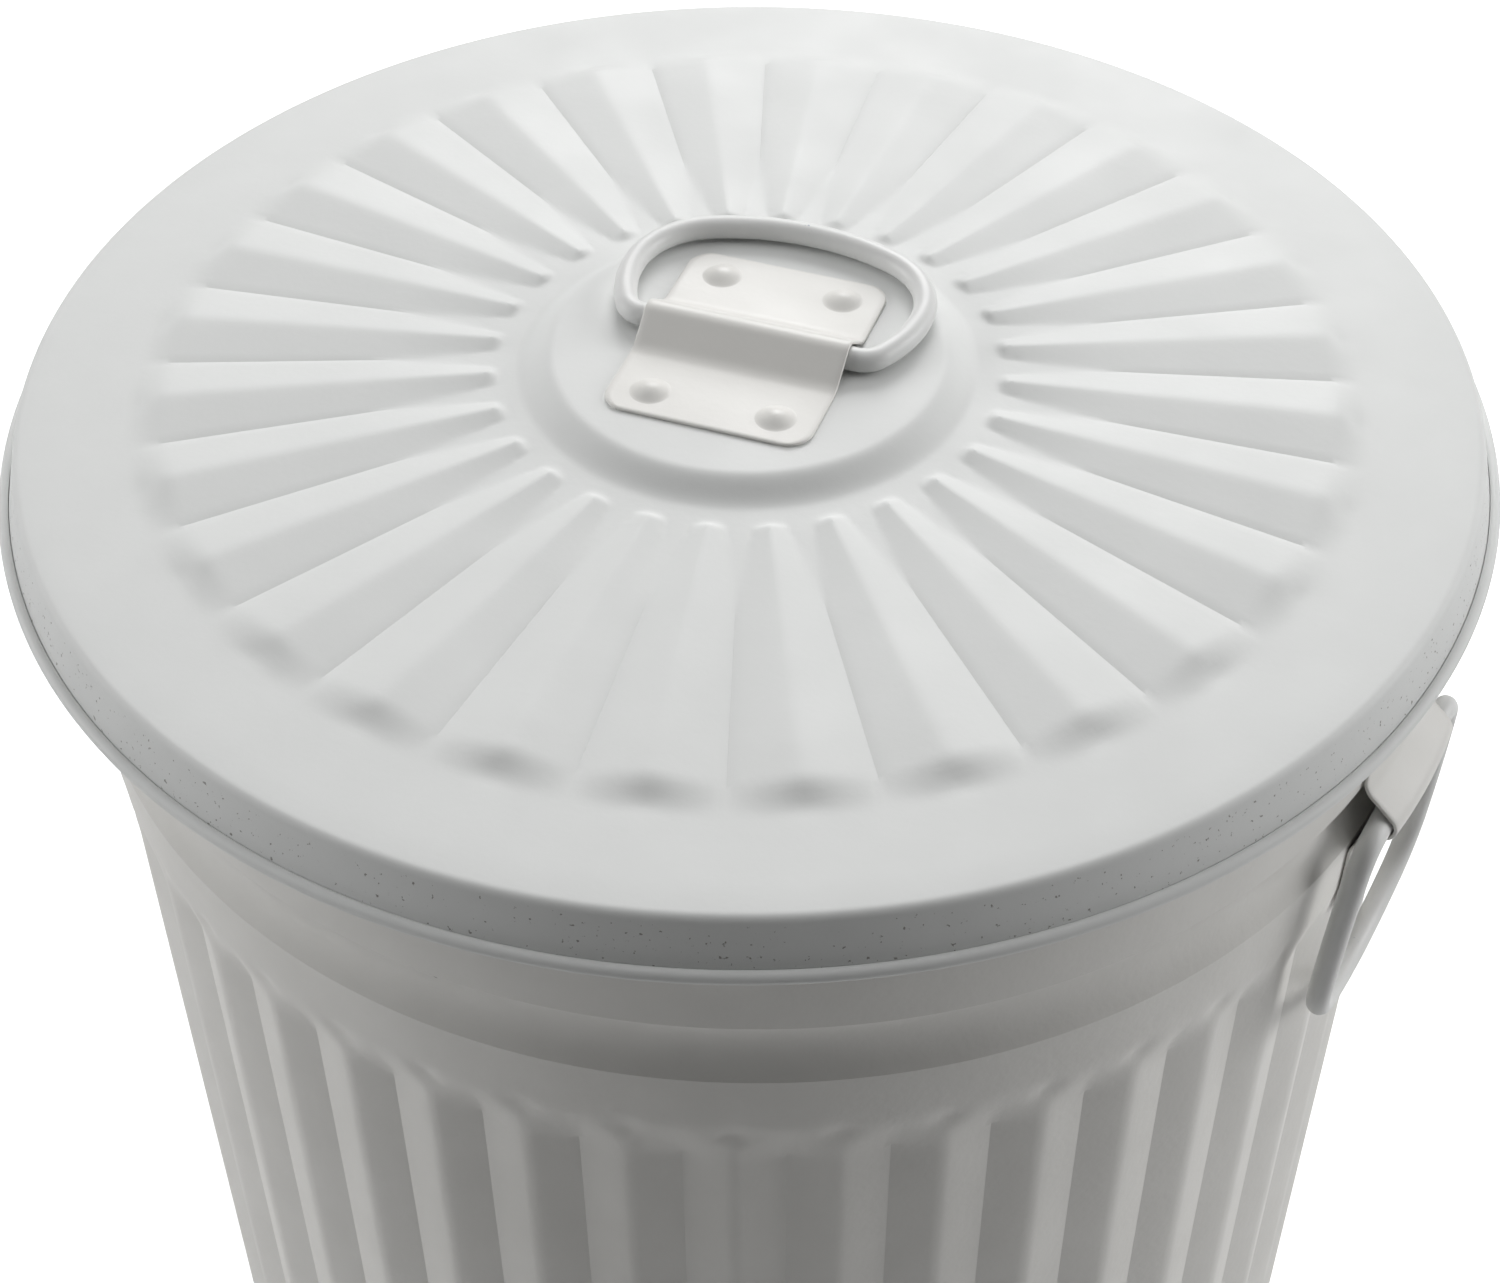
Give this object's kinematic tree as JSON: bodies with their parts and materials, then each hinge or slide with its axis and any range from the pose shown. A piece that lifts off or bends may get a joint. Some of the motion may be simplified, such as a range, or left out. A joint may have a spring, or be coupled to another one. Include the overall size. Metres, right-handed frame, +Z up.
{
  "type": "lidded trash can",
  "caption": "Round tapered sheet-steel trash can with pressed flutes, swinging side rings and a loose ridged lid with a ring handle.",
  "frame": {"origin": "can axis on the floor, under the foot hoop", "axes": "+Z up along the can axis; the side handles are at +X (right) and -X (left)"},
  "size_m": [0.4624, 0.4623, 0.6016],
  "materials": {
    "painted_sheet": "satin",
    "painted_rod": "satin",
    "painted_rivet": "satin",
    "bare_wire": "satin"
  },
  "bodies": {
    "can": {"can_wall": "painted_sheet", "rim_wire": "bare_wire", "can_bottom": "painted_sheet", "foot_hoop": "painted_sheet", "right_ear": "painted_sheet", "left_ear": "painted_sheet", "right_ear_rivet_1": "painted_rivet", "right_ear_rivet_2": "painted_rivet", "right_ear_rivet_3": "painted_rivet", "right_ear_rivet_4": "painted_rivet", "left_ear_rivet_1": "painted_rivet", "left_ear_rivet_2": "painted_rivet", "left_ear_rivet_3": "painted_rivet", "left_ear_rivet_4": "painted_rivet"},
    "lid": {"lid_shell": "painted_sheet", "lid_edge_wire": "bare_wire", "lid_strap": "painted_sheet", "lid_rivet_1": "painted_rivet", "lid_rivet_2": "painted_rivet", "lid_rivet_3": "painted_rivet", "lid_rivet_4": "painted_rivet"},
    "lid_handle": {"lid_ring": "painted_rod"},
    "right_handle": {"right_ring": "painted_rod"},
    "left_handle": {"left_ring": "painted_rod"}
  },
  "joints": [
    {"name": "lid_lift", "type": "slide", "parent": "can", "child": "lid", "axis": [0, 0, 1], "range_m": [0, 0.25]},
    {"name": "lid_ring_swing", "type": "hinge", "parent": "lid", "child": "lid_handle", "pos_m": [-0.0026, -0.00146, 0.59625], "axis": [0.9869, 0.1616, 0], "range_deg": [0, 180]},
    {"name": "right_ring_swing", "type": "hinge", "parent": "can", "child": "right_handle", "pos_m": [0.22078, 0, 0.51386], "axis": [0, -1, 0], "range_deg": [0, 160]},
    {"name": "left_ring_swing", "type": "hinge", "parent": "can", "child": "left_handle", "pos_m": [-0.22078, 0, 0.51386], "axis": [0, 1, 0], "range_deg": [0, 160]}
  ]
}
